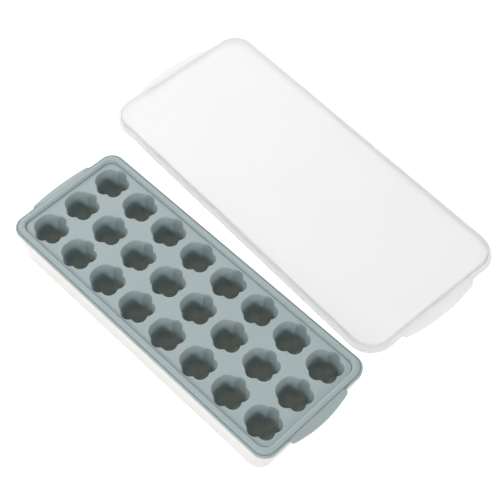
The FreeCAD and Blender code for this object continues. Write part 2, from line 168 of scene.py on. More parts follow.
class TraySizes(PropertyGroup):
    """Sizes of the rigid tray."""

    wall: length("Wall", 1.5, "Walls and floor")
    corner: length("Corner", 10.1, "Corner radius of the rim")
    end_lean: length("End lean", 6, "Lean of each end wall")
    side_lean: length("Side lean", 0.5, "Lean of each side wall")
    rim_height: length("Rim height", 4, "Thickened band round the mouth")
    rim_step: length("Rim step", 0.8, "Band proud of the wall")
    rim_round: length("Rim round", 0.5, "Rounding of the band's edges")
    foot_round: length("Foot round", 2.2, "Rounding between walls and underside")
    polypropylene: colour("Polypropylene", "#F5F6F5", "Milky natural polypropylene")
    clearness: FloatProperty(name="Clearness", default=0.12, min=0, max=1, subtype="FACTOR",
                             description="How much of what is behind shows through")


class LidSizes(PropertyGroup):
    """Sizes and place of the loose lid."""

    end_margin: length("End margin", 19.5, "Lid past the mould's plate at each end")
    side_margin: length("Side margin", 19, "Lid past the mould's plate at each side")
    wall: length("Wall", 1.2, "Panel and skirt")
    edge: length("Edge", 2.3, "Flange outside the raised panel")
    edge_thick: length("Edge thickness", 1.4, "Flange and tabs")
    edge_round: length("Edge round", 0.45, "Rounding of the flange's edge")
    corner: length("Corner", 20, "Corner radius of the flange")
    panel_round: length("Panel round", 1.8, "Rounding of the panel's upper edge")
    tab_width: length("Tab width", 70, "Tab along the short side")
    tab_side: length("Tab side", 2.5, "Tab past the flange at its sides")
    tab_reach: length("Tab reach", 7, "Tab past the flange at its middle")
    tab_round: length("Tab round", 3, "Corner radius of the tab")
    middle_x: FloatProperty(name="Middle X", default=-26.2 * MM, unit="LENGTH",
                            description="Middle of the lid along X")
    gap: length("Gap", 24.7, "Mould's plate to the lid where it lies")
    turn: angle("Turn", -3.6, "Turn of the lid about Z")
    polypropylene: colour("Polypropylene", "#F2F3F2", "Clearer natural polypropylene")
    clearness: FloatProperty(name="Clearness", default=0.85, min=0, max=1, subtype="FACTOR",
                             description="How much of what is behind shows through")


class StageSettings(PropertyGroup):
    """Camera, lamps and floor."""

    camera_place: FloatVectorProperty(
        name="Camera place", default=(0.35169, -0.26699, 0.73660), size=3, unit="LENGTH",
        subtype="TRANSLATION", description="Where the camera stands")
    camera_bearing: angle("Camera bearing", 136.58, "Way the camera looks, from +X towards +Y")
    camera_dip: angle("Camera dip", 56.135, "Camera's look below the horizon")
    camera_roll: angle("Camera roll", -1.396, "Turn of the camera about its own axis")
    lens: FloatProperty(name="Lens", default=86.13, min=1, unit="CAMERA",
                        description="Focal length on a 36 mm wide sensor")
    ceiling: FloatProperty(name="Ceiling", default=0.2, min=0,
                           description="Light from straight above")
    walls: FloatProperty(name="Walls", default=1.1, min=0,
                         description="Light from the pale walls all round")
    back_lamp: FloatProperty(name="Back lamp", default=17.3, min=0,
                             description="Power of the large soft box behind the object")
    left_lamp: FloatProperty(name="Left lamp", default=4.5, min=0,
                             description="Power of the low soft box at the picture's left")
    right_lamp: FloatProperty(name="Right lamp", default=2.8, min=0,
                              description="Power of the low soft box at the picture's right")


# Steps round one well and round one cup: each adds up to the four sides of a cell's border

PER_CELL_SIDE = 24
PALM_STEPS, MIDDLE_TOE_STEPS, SIDE_TOE_STEPS = 30, 12, 8
RIDGE_STEPS = (5, 5, 6, 5, 5)
CUP_SIDE_STEPS, CUP_CORNER_STEPS = 8, 4

# Steps round the rigid pieces, from corner middle to corner middle, and round half a corner

ALONG, ACROSS, CORNER_STEPS = 72, 56, 10

# The hollow round at a tab's root, as a part of the tab's own corner radius

TAB_ROOT_SHARE = 0.6

# Vertices closer than this are welded, and edges that bend more than this stay sharp

WELD_DISTANCE = 0.002 * MM
SHARP_ANGLE = math.radians(50)


# Closed outlines: points with their outward normals, so that point - inset * normal is an offset

def arc(centre, radius, begin, end, count):
    """Arc of a closed anticlockwise outline, without its last point.

    A point is centre + radius (cos a, sin a). Where the angle falls the arc is hollow, so its
    outward normal points at the centre.
    """
    angles = np.linspace(begin, end, count, endpoint=False)
    spoke = np.stack([np.cos(angles), np.sin(angles)], axis=1)
    outward = spoke if end > begin else -spoke
    return np.array(centre) + radius * spoke, outward


def line(begin, end, count):
    """Straight stretch of a closed anticlockwise outline, without its last point."""
    begin, end = np.array(begin, float), np.array(end, float)
    share = np.linspace(0, 1, count, endpoint=False)[:, None]
    along = (end - begin) / np.linalg.norm(end - begin)
    outward = np.tile([along[1], -along[0]], (count, 1))
    return begin + share * (end - begin), outward


def join(stretches):
    points, normals = zip(*stretches)
    return np.concatenate(points), np.concatenate(normals)


def offset(outline, inset):
    """Points of an outline moved inwards by a distance, or outwards by a negative one."""
    points, normals = outline
    return points - inset * normals


def direction(begin, end):
    """Angle of the way from one point to another."""
    return math.atan2(end[1] - begin[1], end[0] - begin[0])


def after(start, finish):
    """The angle finish, turned on by whole turns until it lies past start."""
    return start + (finish - start) % (2 * math.pi)


def before(start, finish):
    """The angle finish, turned back by whole turns until it lies before start."""
    return start - (start - finish) % (2 * math.pi)


def paw_outline(mould, palm_less=0, toe_less=0):
    """Palm and four toes of a well, with a small round at each ridge between them.

    palm_less and toe_less are taken off the radii, as the leaning walls do with depth. Each
    ridge's round has its centre where the two circles, both grown by its radius, cross. Along
    its arc, from 0 to 1, the palm is pushed out by squareness times sin(2 pi share) ** 2.
    """
    palm, toe = mould.palm_radius - palm_less, mould.toe_radius - toe_less
    circles = (
        ((-mould.palm_back, 0), palm, PALM_STEPS),
        ((mould.outer_toe_x, -mould.outer_toe_y), toe, SIDE_TOE_STEPS),
        ((mould.inner_toe_x, -mould.inner_toe_y), toe, MIDDLE_TOE_STEPS),
        ((mould.inner_toe_x, mould.inner_toe_y), toe, MIDDLE_TOE_STEPS),
        ((mould.outer_toe_x, mould.outer_toe_y), toe, SIDE_TOE_STEPS))
    ridge = mould.ridge_round
    centres = []
    for i, (first, first_radius, _) in enumerate(circles):
        second, second_radius, _ = circles[(i + 1) % len(circles)]
        apart = math.dist(first, second)
        near, far = first_radius + ridge, second_radius + ridge
        along = (near ** 2 - far ** 2 + apart ** 2) / (2 * apart)
        across = math.sqrt(near ** 2 - along ** 2)
        unit = (Vector(second) - Vector(first)) / apart
        centres.append(tuple(Vector(first) + along * unit + across * Vector((unit.y, -unit.x))))
    stretches = []
    for i, (centre, radius, count) in enumerate(circles):
        following = circles[(i + 1) % len(circles)][0]
        begin = direction(centre, centres[i - 1])
        end = after(begin, direction(centre, centres[i]))
        stretches.append(arc(centre, radius, begin, end, count))
        turned = direction(centres[i], centre)
        ridge_end = before(turned, direction(centres[i], following))
        stretches.append(arc(centres[i], ridge, turned, ridge_end, RIDGE_STEPS[i]))
    points, normals = join(stretches)
    share = np.arange(PALM_STEPS)[:, None] / PALM_STEPS
    push = mould.palm_square * np.sin(2 * math.pi * share) ** 2
    points[:PALM_STEPS] += push * normals[:PALM_STEPS]
    palm_middle = PALM_STEPS // 2
    return np.roll(points, -palm_middle, axis=0), np.roll(normals, -palm_middle, axis=0)


def cut_rectangle(half_x, half_y, cut, corner, per_side, per_corner):
    """Rectangle with its corners cut at 45 degrees and its eight corners rounded.

    Each round begins and ends corner * tan(half its bend) from its corner.
    """
    inner = [(-half_x, -half_y + cut), (-half_x + cut, -half_y), (half_x - cut, -half_y),
             (half_x, -half_y + cut), (half_x, half_y - cut), (half_x - cut, half_y),
             (-half_x + cut, half_y), (-half_x, half_y - cut)]
    half_bend = math.radians(22.5)
    setback = corner * math.tan(half_bend)
    stretches = []
    for i, point in enumerate(inner):
        previous, following = inner[i - 1], inner[(i + 1) % len(inner)]
        come, go = direction(previous, point), direction(point, following)
        begin = np.array(point) - setback * np.array([math.cos(come), math.sin(come)])
        centre = begin + corner * np.array([-math.sin(come), math.cos(come)])
        stretches.append(arc(centre, corner, come - math.pi / 2,
                             after(come, go) - math.pi / 2, per_corner))
        leave = np.array(point) + setback * np.array([math.cos(go), math.sin(go)])
        arrive = np.array(following) - setback * np.array([math.cos(go), math.sin(go)])
        stretches.append(line(leave, arrive, per_side))
    points, normals = join(stretches)
    left_middle = per_side // 2
    return np.roll(points, left_middle, axis=0), np.roll(normals, left_middle, axis=0)


def rounded_rectangle(half_x, half_y, radius, along, across, steps):
    """Rectangle with round corners, from the middle of its lower left corner.

    along and across are the stretches from corner middle to corner middle, steps those of half
    a corner.
    """
    x, y = half_x - radius, half_y - radius
    quarter, eighth = math.pi / 2, math.pi / 4
    sides = (((-x, -y), (x, -y), along), ((x, -y), (x, y), across),
             ((x, y), (-x, y), along), ((-x, y), (-x, -y), across))
    stretches = []
    for side, (first, second, count) in enumerate(sides):
        facing = (side - 1) * quarter
        out = radius * np.array([math.cos(facing), math.sin(facing)])
        stretches.append(arc(first, radius, facing - eighth, facing, steps))
        stretches.append(line(np.array(first) + out, np.array(second) + out, count - 2 * steps))
        stretches.append(arc(second, radius, facing, facing + eighth, steps))
    return join(stretches)


def tabbed_rectangle(half_x, half_y, radius, tab, along, across, steps):
    """Rounded rectangle with a bowed tab on each end, from the middle of its lower left corner.

    tab gives width, side, reach and round. The bow is an arc through the tab's shoulders and its
    middle; a round joins it to a hollow round that meets the plate's edge.
    """
    width, side, reach, bend = tab
    root = TAB_ROOT_SHARE * bend
    half, rise = width / 2, reach - side
    bow_radius = (half ** 2 + rise ** 2) / (2 * rise)
    bow_x = half_x + reach - bow_radius
    bend_y = -half + bend
    bend_x = bow_x + math.sqrt((bow_radius - bend) ** 2 - bend_y ** 2)
    root_x = half_x + root
    root_y = bend_y - math.sqrt((root + bend) ** 2 - min(abs(root_x - bend_x), root) ** 2)
    bow_begin = math.atan2(bend_y, bend_x - bow_x)
    lean = direction((root_x, root_y), (bend_x, bend_y))
    x, y = half_x - radius, half_y - radius
    eighth = math.pi / 4
    bend_steps = 5
    straight = 4
    bow_steps = across - 2 * (steps + straight + 2 * bend_steps)
    right = (
        arc((x, -y), radius, -eighth, 0, steps),
        line((half_x, -y), (half_x, root_y), straight),
        arc((root_x, root_y), root, math.pi, lean, bend_steps),
        arc((bend_x, bend_y), bend, lean - math.pi, bow_begin, bend_steps),
        arc((bow_x, 0), bow_radius, bow_begin, -bow_begin, bow_steps),
        arc((bend_x, -bend_y), bend, -bow_begin, math.pi - lean, bend_steps),
        arc((root_x, -root_y), root, 2 * math.pi - lean, math.pi, bend_steps),
        line((half_x, -root_y), (half_x, y), straight),
        arc((x, y), radius, 0, eighth, steps))
    points, normals = join(right)
    top = join((arc((x, y), radius, eighth, 2 * eighth, steps),
                line((x, half_y), (-x, half_y), along - 2 * steps),
                arc((-x, y), radius, 2 * eighth, 3 * eighth, steps)))
    return join(((-top[0], -top[1]), (points, normals), top, (-points, -normals)))


def loop_at(points, height):
    """Points of an outline at a height."""
    return np.column_stack([points, np.full(len(points), height)])


# Meshes from stacks of closed loops; a shelf is a narrow flat ring that keeps a wide flat even

class Patchwork:
    """Vertices and faces of one mesh, gathered from stacks of loops."""

    def __init__(self):
        self.vertices = []
        self.faces = []
        self.count = 0

    def add(self, vertices, faces):
        self.vertices.append(vertices)
        self.faces.extend((faces + self.count).tolist())
        self.count += len(vertices)

    def stack(self, loops, close=False):
        """Quads between each loop and the next; close ends on the last loop's middle."""
        loops = np.asarray(loops)
        levels, around = loops.shape[:2]
        index = np.arange(levels * around).reshape(levels, around)
        turned = np.roll(index, -1, axis=1)
        quads = np.stack([index[:-1], turned[:-1], turned[1:], index[1:]], axis=-1)
        vertices = loops.reshape(-1, 3)
        self.add(vertices, quads.reshape(-1, 4))
        if close:
            hub = loops[-1].mean(axis=0)
            rim = np.arange(around)
            fan = np.stack([rim, np.roll(rim, -1), np.full(around, around)], axis=-1)
            self.add(np.vstack([loops[-1], hub]), fan)

    def build(self, name):
        """Weld what coincides, turn the faces outward and shade smooth but at sharp edges."""
        mesh = bpy.data.meshes.new(name)
        mesh.from_pydata(np.concatenate(self.vertices), [], self.faces)
        work = bmesh.new()
        work.from_mesh(mesh)
        bmesh.ops.remove_doubles(work, verts=work.verts, dist=WELD_DISTANCE)
        bmesh.ops.recalc_face_normals(work, faces=work.faces)
        work.to_mesh(mesh)
        work.free()
        mesh.polygons.foreach_set("use_smooth", np.ones(len(mesh.polygons), bool))
        mesh.set_sharp_from_angle(angle=SHARP_ANGLE)
        piece = bpy.data.objects.new(name, mesh)
        bpy.context.scene.collection.objects.link(piece)
        return piece


def quarter_turn(count):
    """Pairs of sine and one minus cosine, in even steps from 0 to 90 degrees."""
    angles = np.linspace(0, math.pi / 2, count + 1)
    return list(zip(np.sin(angles), 1 - np.cos(angles)))


# Silicone mould

def cell_rectangle(x_low, x_high, y_low, y_high):
    """Border of one cell, from the middle of its left side, with even steps along each side."""
    steps = PER_CELL_SIDE
    corners = np.array([[x_low, y_low], [x_high, y_low], [x_high, y_high], [x_low, y_high]])
    share = np.linspace(0, 1, steps, endpoint=False)[:, None]
    sides = [a + share * (b - a) for a, b in zip(corners, np.roll(corners, -1, axis=0))]
    return np.roll(np.concatenate(sides), steps // 2, axis=0)


def cell_edges(count, pitch, outermost):
    """Borders between cells along one axis, with the outermost ones as given."""
    edges = (np.arange(count + 1) - count / 2) * pitch
    edges[0], edges[-1] = -outermost, outermost
    return edges


def grid_border(edges_x, edges_y, corner, height):
    """Outer border of the whole grid of cells with round corners, from its lower left one."""
    per_x = np.arange((len(edges_x) - 1) * PER_CELL_SIDE) / PER_CELL_SIDE
    per_y = np.arange((len(edges_y) - 1) * PER_CELL_SIDE) / PER_CELL_SIDE
    xs = np.interp(per_x, np.arange(len(edges_x)), edges_x)
    ys = np.interp(per_y, np.arange(len(edges_y)), edges_y)
    bottom = np.stack([xs, np.full(len(xs), edges_y[0])], axis=1)
    right = np.stack([np.full(len(ys), edges_x[-1]), ys], axis=1)
    border = np.concatenate([bottom, right, -bottom, -right])
    return round_off(loop_at(border, height), edges_x[-1], edges_y[-1], corner)


def round_off(loop, half_x, half_y, radius):
    """Points in a corner zone of a rectangle's border, moved straight to the corner's round."""
    corner = np.sign(loop[:, :2]) * (np.array([half_x, half_y]) - radius)
    spoke = loop[:, :2] - corner
    inside = (np.abs(loop[:, :2]) > np.abs(corner)).all(axis=1)
    reach = np.linalg.norm(spoke, axis=1)
    share = np.where(inside, radius / np.maximum(reach, radius), 1)[:, None]
    rounded = loop.copy()
    rounded[:, :2] = np.where(inside[:, None], corner + share * spoke, loop[:, :2])
    return rounded


def well_loops(mould, top):
    """Loops of one well round its own centre, from just outside its mouth to near its middle.

    The mouth turns over a quarter round. Palm and toes lean in with depth, each at its own
    angle. The floor is the deepest of five domes, height * sqrt(1 - (distance / radius) ** 2)
    below the knee, with a narrow soft crease where two of them meet.
    """
    outline = paw_outline(mould)
    round_ = mould.mouth_round
    shelf = 0.15 * MM
    wall_shares = (0.08, 0.35, 0.7, 1)
    floor_steps = 12
    softness = 0.12 * MM
    palm_lean, toe_lean = math.tan(mould.palm_lean), math.tan(mould.toe_lean)
    knee = mould.well_depth - mould.palm_dome
    loops = [loop_at(offset(outline, -round_ - shelf), top)]
    for sine, versine in quarter_turn(5):
        loops.append(loop_at(offset(outline, -round_ * (1 - sine)), top - round_ * versine))
    for share in wall_shares:
        drop = share * (knee - round_)
        edge, _ = paw_outline(mould, palm_lean * drop, toe_lean * drop)
        loops.append(loop_at(edge, top - round_ - drop))
    centres = np.array([(-mould.palm_back, 0), (mould.outer_toe_x, mould.outer_toe_y),
                        (mould.outer_toe_x, -mould.outer_toe_y),
                        (mould.inner_toe_x, mould.inner_toe_y),
                        (mould.inner_toe_x, -mould.inner_toe_y)])
    radii = np.array([mould.palm_radius - palm_lean * (knee - round_)]
                     + [mould.toe_radius - toe_lean * (knee - round_)] * 4)
    heights = np.array([mould.palm_dome] + [mould.toe_dome] * 4)
    for share in np.cos(np.linspace(0, math.pi / 2, floor_steps))[1:-1]:
        points = share * edge
        gap = np.linalg.norm(points[:, None] - centres[None], axis=2) / radii
        domes = heights * np.sqrt(np.clip(1 - gap ** 2, 0, 1))
        peak = domes.max(axis=1, keepdims=True)
        blend = peak[:, 0] + softness * np.log(np.exp((domes - peak) / softness).sum(axis=1))
        deep = np.minimum(blend, mould.palm_dome)
        loops.append(np.column_stack([points, top - knee - deep]))
    return np.array(loops)


def cup_loops(mould, under, sole):
    """Loops of one cup's outside round its own centre, from the plate's underside down.

    Below a small round at its root the wall leans in by tan(lean) * depth, down to a rounded
    bevel and the flat sole.
    """
    toe_tuck, corner = 0.2 * MM, 3.5 * MM
    root, shelf = 0.3 * MM, 0.05 * MM
    wall_share, sole_share = 0.9, 0.8
    half_x = (mould.palm_back + mould.palm_radius + mould.inner_toe_x + mould.toe_radius) / 2
    half_y = mould.outer_toe_y + mould.toe_radius - toe_tuck
    outline = cut_rectangle(half_x + mould.cup_wall, half_y + mould.cup_wall,
                            mould.cup_corner_cut, corner, CUP_SIDE_STEPS, CUP_CORNER_STEPS)
    bevel, tangent = mould.cup_bevel, math.tan(mould.cup_lean)
    loops = [loop_at(offset(outline, -root - shelf), under)]
    for sine, versine in quarter_turn(2):
        loops.append(loop_at(offset(outline, -root * (1 - sine)), under - root * versine))
    drop = under - sole - bevel
    lean = tangent * (drop - root)
    low = under - root - wall_share * (drop - root)
    loops.append(loop_at(offset(outline, wall_share * lean), low))
    for sine, versine in quarter_turn(3):
        loops.append(loop_at(offset(outline, lean + bevel * versine), sole + bevel * (1 - sine)))
    loops.append(loop_at(sole_share * offset(outline, lean + bevel), sole))
    return np.array(loops)


def add_cells(patches, mould, edges_x, edges_y, corner, template, height):
    """Copies of one cell's loops over the grid, each joined to its own rectangle.

    The grid's own four corners are rounded, so that they stay inside the rim's loops.
    """
    for row in range(mould.rows):
        for column in range(mould.columns):
            centre = np.array([(column - (mould.columns - 1) / 2) * mould.pitch_x,
                               (row - (mould.rows - 1) / 2) * mould.pitch_y, 0])
            border = cell_rectangle(edges_x[column], edges_x[column + 1],
                                    edges_y[row], edges_y[row + 1])
            edge = round_off(loop_at(border, height), edges_x[-1], edges_y[-1], corner)
            loops = np.concatenate([edge[None], template + centre])
            patches.stack(loops, close=True)


def rim_profile(mould, half_x, half_y, top, along, across):
    """Loops of the mould's rim: groove, raised bead, groove, edge with its tabs, and the rib.

    Each is the plate's outline set in by a distance and at a height. The bead's face and back
    are quarters of ellipses, and the flange outside it lies above the flat top. Each foot has
    half a groove, depth * (1 - cos(2 pi share)) / 2, and the bead rises from its lowest point. A
    tab droops by droop * (distance past the plate / reach) ** power.
    """
    steps = 8
    half_groove = (0, 0.12, 0.25, 0.38, 0.5)
    shelf, power, nose_steps = 0.1 * MM, 1.3, 7
    under = top - mould.plate_thick
    crest = MOULD_BOX[1].z
    plain = rounded_rectangle(half_x, half_y, mould.plate_corner, along, across, steps)

    def bead_loop(inset, height):
        """The plate's outline set in, with corners that lose only part of their radius."""
        corner = mould.plate_corner - mould.bead_corner_share * inset
        points, _ = rounded_rectangle(half_x - inset, half_y - inset, corner,
                                      along, across, steps)
        return loop_at(points, height)

    tab = (mould.tab_width, mould.tab_side, mould.tab_reach, mould.tab_round)
    tabbed = tabbed_rectangle(half_x, half_y, mould.plate_corner, tab, along, across, steps)
    inner, outer = mould.bead_inner, mould.bead_outer
    face, back = mould.bead_face, mould.bead_back
    wide, deep = mould.groove_width, mould.groove_depth
    flange = top + mould.flange_rise
    rise, fall = crest - top + deep, crest - flange + deep
    dips = [(share, (1 - math.cos(2 * math.pi * share)) / 2) for share in half_groove]
    profile = [(inner + wide * (1 - share), top - deep * dip) for share, dip in dips]
    turn = quarter_turn(6)[1:]
    profile += [(inner + wide / 2 - (wide / 2 + face) * v, crest - rise * (1 - s))
                for s, v in turn]
    profile += [(outer - wide / 2 + (wide / 2 + back) * v, crest - fall * (1 - s))
                for s, v in turn[::-1]]
    profile += [(outer - wide * (1 - share), flange - deep * dip) for share, dip in dips[::-1]]
    loops = [bead_loop(inset, height) for inset, height in profile]

    edge = mould.edge_round
    turn = quarter_turn(4)
    border = [(edge + shelf, flange)]
    border += [(edge * (1 - s), flange - edge * v) for s, v in turn]
    border += [(edge * v, under + edge * (1 - s)) for s, v in turn]
    border.append((edge + shelf, under))
    for inset, height in border:
        loop = loop_at(offset(tabbed, inset), height)
        past = np.clip(np.abs(loop[:, 0]) - half_x, 0, None) / mould.tab_reach
        loop[:, 2] -= mould.tab_droop * past ** power
        loops.append(loop)

    rib, thick, low = mould.rib_inset, mould.rib_thick, under - mould.rib_depth
    nose = thick / 2
    rib_profile = [(rib - shelf, under), (rib, under), (rib, low + nose)]
    angles = np.linspace(0, math.pi, nose_steps)[1:-1]
    rib_profile += [(rib + nose * (1 - math.cos(a)), low + nose * (1 - math.sin(a)))
                    for a in angles]
    rib_profile += [(rib + thick, low + nose), (rib + thick, under), (rib + thick + shelf, under)]
    loops += [loop_at(offset(plain, inset), height) for inset, height in rib_profile]
    return loops


def build_mould(mould):
    """Wells over a grid above, cups over a grid below, and the rim that joins the two grids.

    The upper grid stops a shelf's width from the groove, and the lower one from the rib.
    """
    top_shelf, rib_shelf = 0.1 * MM, 0.4 * MM
    top = TRAY_BOX[1].z + mould.plate_thick
    under, sole = TRAY_BOX[1].z, MOULD_BOX[0].z
    half_x = mould.columns * mould.pitch_x / 2 + mould.end_border
    half_y = mould.rows * mould.pitch_y / 2 + mould.side_border
    flat_end = mould.bead_inner + mould.groove_width + top_shelf
    flat_corner = mould.plate_corner - mould.bead_corner_share * flat_end
    top_x = cell_edges(mould.columns, mould.pitch_x, half_x - flat_end)
    top_y = cell_edges(mould.rows, mould.pitch_y, half_y - flat_end)
    rib_end = mould.rib_inset + mould.rib_thick + rib_shelf
    rib_corner = mould.plate_corner - rib_end
    under_x = cell_edges(mould.columns, mould.pitch_x, half_x - rib_end)
    under_y = cell_edges(mould.rows, mould.pitch_y, half_y - rib_end)
    patches = Patchwork()
    add_cells(patches, mould, top_x, top_y, flat_corner, well_loops(mould, top), top)
    add_cells(patches, mould, under_x, under_y, rib_corner, cup_loops(mould, under, sole), under)
    rim = rim_profile(mould, half_x, half_y, top,
                      mould.columns * PER_CELL_SIDE, mould.rows * PER_CELL_SIDE)
    above = grid_border(top_x, top_y, flat_corner, top)
    below = grid_border(under_x, under_y, rib_corner, under)
    patches.stack([above] + rim + [below])
    return patches.build("silicone_mould")


# Rigid pieces

def closed_shell(loops, name):
    """Piece from a stack of loops, with its first and last loops each closed on their middle."""
    patches = Patchwork()
    patches.stack(loops, close=True)
    patches.stack(loops[:1], close=True)
    return patches.build(name)


def inset_rectangle(half_x, half_y, radius, inset, height):
    """Rounded rectangle set in by a distance, with a least radius for its corners."""
    least_round = 0.3 * MM
    corner = max(radius - inset, least_round)
    points, _ = rounded_rectangle(half_x - inset, half_y - inset, corner,
                                  ALONG, ACROSS, CORNER_STEPS)
    return loop_at(points, height)


def build_tray(tray):
    """Profile of the tray, from the middle of its sole over the rim to the middle of its floor."""
    half_x, half_y, top = TRAY_BOX[1].x, TRAY_BOX[1].y, TRAY_BOX[1].z
    band = top - tray.rim_height
    shelf, above_foot, below_band = 0.3 * MM, 0.5 * MM, 0.4 * MM
    inner_round, floor_round = 0.4 * MM, 1.5 * MM

    def level(inset, height):
        """Loop set in from the leaning wall by a distance, at a height."""
        low = 1 - height / top
        x = half_x - tray.rim_step - tray.end_lean * low
        y = half_y - tray.rim_step - tray.side_lean * low
        return inset_rectangle(x, y, tray.corner - tray.rim_step, inset, height)

    def rim(inset, height):
        """Loop set in from the band's face by a distance, at a height."""
        return inset_rectangle(half_x, half_y, tray.corner, inset, height)

    foot, round_, wall = tray.foot_round, tray.rim_round, tray.wall
    turn = quarter_turn(6)
    loops = [level(foot + shelf, 0)]
    loops += [level(foot * (1 - s), foot * v) for s, v in turn]
    loops += [level(0, foot + above_foot), level(0, band - below_band), level(0, band)]
    turn = quarter_turn(3)
    loops += [rim(round_ * (1 - s), band + round_ * v) for s, v in turn]
    loops += [rim(round_ * v, top - round_ * (1 - s)) for s, v in turn]
    loops += [level(wall - inner_round, top)]
    loops += [level(wall - inner_round * (1 - s), top - inner_round * v) for s, v in turn]
    turn = quarter_turn(5)
    loops += [level(wall + floor_round * v, wall + floor_round * (1 - s))
              for s, v in turn]
    loops += [level(wall + floor_round + shelf, wall)]
    return closed_shell(loops, "tray")


def build_lid(lid, mould):
    """Profile of the lid: hollow underside, flange with its tabs, skirt and raised panel.

    The lid is turned about Z and lies on the table beside the mould.
    """
    shelf, ring, lip, ledge, root = 0.4 * MM, 12 * MM, 0.2 * MM, 0.1 * MM, 0.5 * MM
    half_x = mould.columns * mould.pitch_x / 2 + mould.end_border + lid.end_margin
    half_y = mould.rows * mould.pitch_y / 2 + mould.side_border + lid.side_margin
    top, flange = LID_BOX[1].z, lid.edge_thick
    tab = (lid.tab_width, lid.tab_side, lid.tab_reach, lid.tab_round)
    tabbed = tabbed_rectangle(half_x, half_y, lid.corner, tab, ALONG, ACROSS, CORNER_STEPS)

    def panel(inset, height):
        """Loop set in from the skirt's face by a distance, at a height."""
        return inset_rectangle(half_x - lid.edge, half_y - lid.edge, lid.corner - lid.edge,
                               inset, height)

    wall, edge, shoulder = lid.wall, lid.edge_round, lid.panel_round
    inner = max(shoulder - wall, shelf)
    turn = quarter_turn(5)
    under = top - wall
    loops = [panel(wall + inner + ring, under), panel(wall + inner + shelf, under)]
    loops += [panel(wall + inner * (1 - s), under - inner * v) for s, v in turn]
    loops += [panel(wall, lip), panel(wall - lip, 0)]
    loops += [loop_at(offset(tabbed, edge + ledge), 0)]
    turn = quarter_turn(3)
    loops += [loop_at(offset(tabbed, edge * (1 - s)), edge * v) for s, v in turn]
    loops += [loop_at(offset(tabbed, edge * v), flange - edge * (1 - s))
              for s, v in turn]
    loops += [loop_at(offset(tabbed, edge + ledge), flange)]
    loops += [panel(-root - ledge, flange)]
    loops += [panel(-root * (1 - s), flange + root * v) for s, v in turn]
    turn = quarter_turn(6)
    loops += [panel(shoulder * v, top - shoulder * (1 - s)) for s, v in turn]
    loops += [panel(shoulder + shelf, top), panel(shoulder + ring, top)]
    middle_y = (half_y - lid.side_margin) + lid.gap + half_y
    place = Matrix.Translation((lid.middle_x, middle_y, 0)) @ Matrix.Rotation(lid.turn, 4, "Z")
    piece = closed_shell(loops, "lid_cover")
    piece.data.transform(place)
    return piece


# Materials

def add_node(tree, kind, inputs=None, **settings):
    """Add a shader node, set its settings, and set or link its sockets."""
    node = tree.nodes.new(kind)
    for name, value in settings.items():
        setattr(node, name, value)
    for name, value in (inputs or {}).items():
        if isinstance(value, bpy.types.NodeSocket):
            tree.links.new(value, node.inputs[name])
        else:
            node.inputs[name].default_value = value
    return node


def new_material(name):
    """Material with an empty node tree, and the tree."""
    material = bpy.data.materials.new(name)
    material.use_nodes = True
    material.node_tree.nodes.clear()
    return material, material.node_tree


def per_metre(millimetres):
    """Noise scale whose spots are about this wide."""
    return 1 / (millimetres * MM)


def shade(tint, factor):
    """Colour made lighter or darker by a factor, with its alpha."""
    return tuple(min(1, factor * c) for c in tint) + (1,)


def silicone(tint, painted_shade_tint):
    """Moulded silicone rubber: the eye sees an even, dry, matt colour with a faint bloom.

    Deep in the wells the colour turns warmer with depth: painted shade, the tint of the shaded
    well floors.
    """
    shade_tint_full_below, shade_tint_gone_above = 8 * MM, 16 * MM
    material, tree = new_material("silicone rubber")
    place = add_node(tree, "ShaderNodeTexCoord").outputs["Object"]
    cloud = add_node(tree, "ShaderNodeTexNoise", {
        "Vector": place, "Scale": per_metre(40), "Detail": 3.0, "Roughness": 0.5})
    # Bloom of fine dust and release agent, in soft clouds a few per cent darker and lighter
    bloom = add_node(tree, "ShaderNodeMix", {
        "Factor": cloud.outputs["Fac"], "A": shade(tint, 0.97), "B": shade(tint, 1.03)},
        data_type="RGBA")
    # Painted shade: with depth in the wells the colour turns from the silicone's own towards a
    # warmer grey, fully so near the floors
    height = add_node(tree, "ShaderNodeSeparateXYZ", {"Vector": place}).outputs["Z"]
    up = add_node(tree, "ShaderNodeMapRange", {
        "Value": height, "From Min": shade_tint_full_below, "From Max": shade_tint_gone_above})
    tone = add_node(tree, "ShaderNodeMix", {
        "Factor": up.outputs["Result"], "A": shade(painted_shade_tint, 1), "B": bloom.outputs["Result"]},
        data_type="RGBA")
    # Grain of the blasted mould, drawn at 0.6 mm so that it shows
    grain = add_node(tree, "ShaderNodeTexNoise", {
        "Vector": place, "Scale": per_metre(0.6), "Detail": 2.0, "Roughness": 0.6})
    relief = add_node(tree, "ShaderNodeBump", {
        "Height": grain.outputs["Fac"], "Strength": 0.25, "Distance": 0.03 * MM})
    surface = add_node(tree, "ShaderNodeBsdfPrincipled", {
        "Base Color": tone.outputs["Result"], "Roughness": 0.5, "IOR": 1.41,
        "Sheen Weight": 0.08, "Sheen Roughness": 0.5, "Normal": relief.outputs["Normal"]})
    add_node(tree, "ShaderNodeOutputMaterial", {"Surface": surface.outputs["BSDF"]})
    return material


